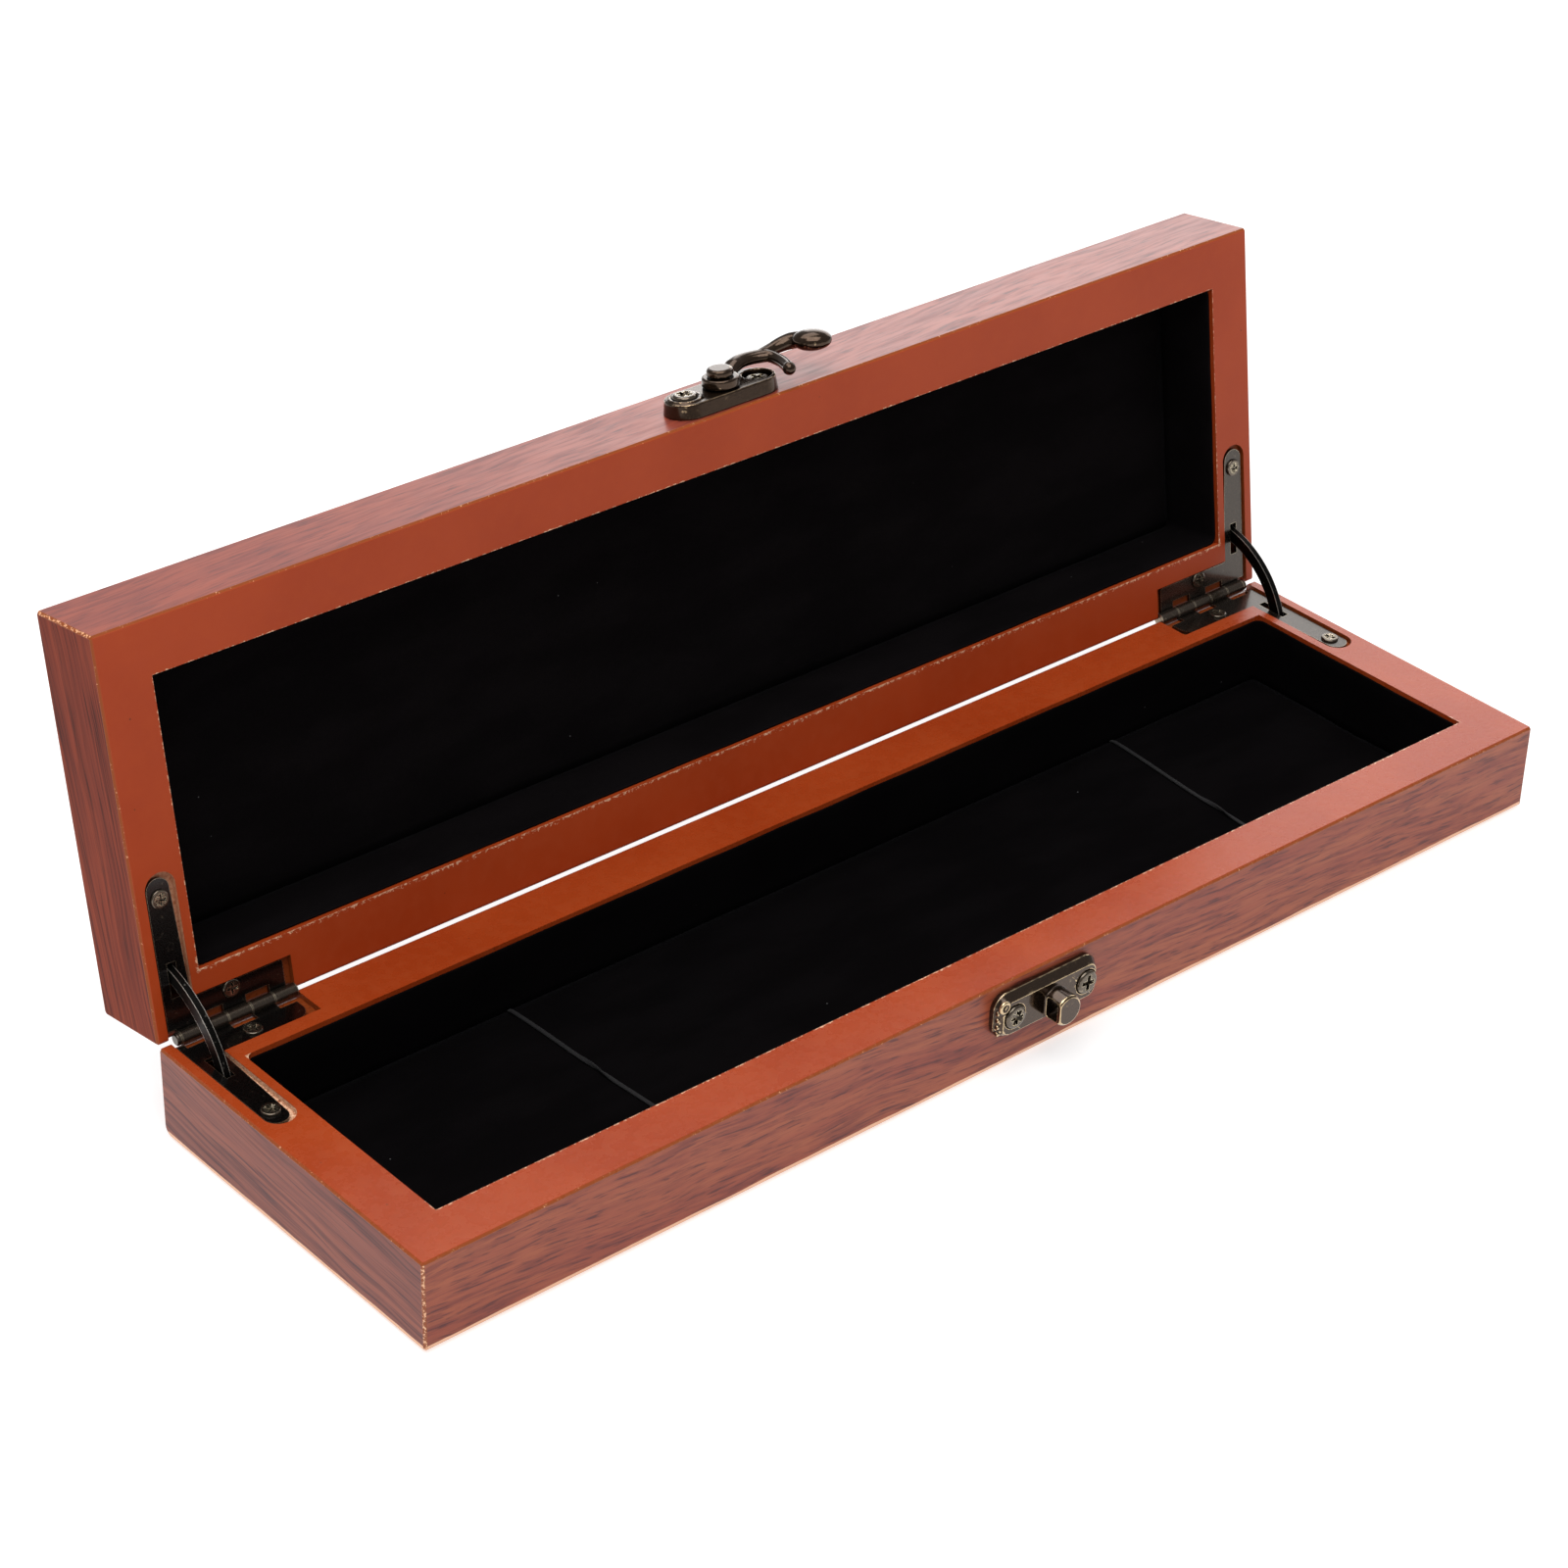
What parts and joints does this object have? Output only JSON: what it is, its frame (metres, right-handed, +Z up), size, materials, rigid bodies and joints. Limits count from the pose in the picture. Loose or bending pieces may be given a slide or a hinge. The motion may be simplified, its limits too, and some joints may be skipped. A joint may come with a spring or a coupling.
{
  "type": "fountain pen case",
  "caption": "Hinged wooden case for fountain pens, open, with a velvet interior, elastics across the base, two stayed hinges and a hook latch.",
  "frame": {"origin": "on the face the base stands on, under the middle of the cavity", "axes": "+X along the case towards its right end, +Y from the latch side to the hinge side, +Z up"},
  "size_m": [0.23, 0.0948, 0.0858],
  "materials": {
    "painted_board": "satin orange-brown paint on fibreboard",
    "veneer": "satin red-brown wood grain",
    "velvet": "black velvet",
    "elastic": "woven grey elastic",
    "bronze": "dark antique bronze"
  },
  "bodies": {
    "base": {"base_floor_pad": "velvet", "base_shell": "painted_board", "base_veneer_back": "veneer", "base_veneer_bottom": "veneer", "base_veneer_front": "veneer", "base_veneer_left": "veneer", "base_veneer_right": "veneer", "base_wall_lining": "velvet", "catch_plate": "bronze", "catch_screws": "bronze", "pen_elastic_left": "elastic", "pen_elastic_right": "elastic", "left_base_leaf": "bronze", "left_base_leaf_screws": "bronze", "left_hinge_pin": "bronze", "right_base_leaf": "bronze", "right_base_leaf_screws": "bronze", "right_hinge_pin": "bronze"},
    "lid": {"lid_floor_pad": "velvet", "lid_shell": "painted_board", "lid_veneer_back": "veneer", "lid_veneer_front": "veneer", "lid_veneer_left": "veneer", "lid_veneer_right": "veneer", "lid_veneer_top": "veneer", "lid_wall_lining": "velvet", "latch_plate": "bronze", "latch_rivet": "bronze", "latch_screws": "bronze", "left_lid_leaf": "bronze", "left_lid_leaf_screws": "bronze", "right_lid_leaf": "bronze", "right_lid_leaf_screws": "bronze"},
    "left_stay": {"left_stay": "bronze"},
    "right_stay": {"right_stay": "bronze"},
    "latch_arm": {"latch_arm": "bronze"}
  },
  "joints": [
    {"name": "lid_hinge", "type": "hinge", "parent": "base", "child": "lid", "pos_m": [0, 0.03285, 0.01555], "axis": [1, 0, 0], "range_deg": [0, 98.6]},
    {"name": "left_stay_swing", "type": "hinge", "parent": "base", "child": "left_stay", "pos_m": [0, 0.03285, 0.01555], "axis": [1, 0, 0], "range_deg": [0, 49.3]},
    {"name": "right_stay_swing", "type": "hinge", "parent": "base", "child": "right_stay", "pos_m": [0, 0.03285, 0.01555], "axis": [1, 0, 0], "range_deg": [0, 49.3]},
    {"name": "latch_turn", "type": "hinge", "parent": "lid", "child": "latch_arm", "pos_m": [0.0024, 0.04715, 0.07898], "axis": [0, 0.1495, 0.9888], "range_deg": [-82, 90]}
  ],
  "couplings": [
    {"joint": "left_stay_swing", "follows": "lid_hinge", "ratio": 0.5},
    {"joint": "right_stay_swing", "follows": "lid_hinge", "ratio": 0.5}
  ]
}
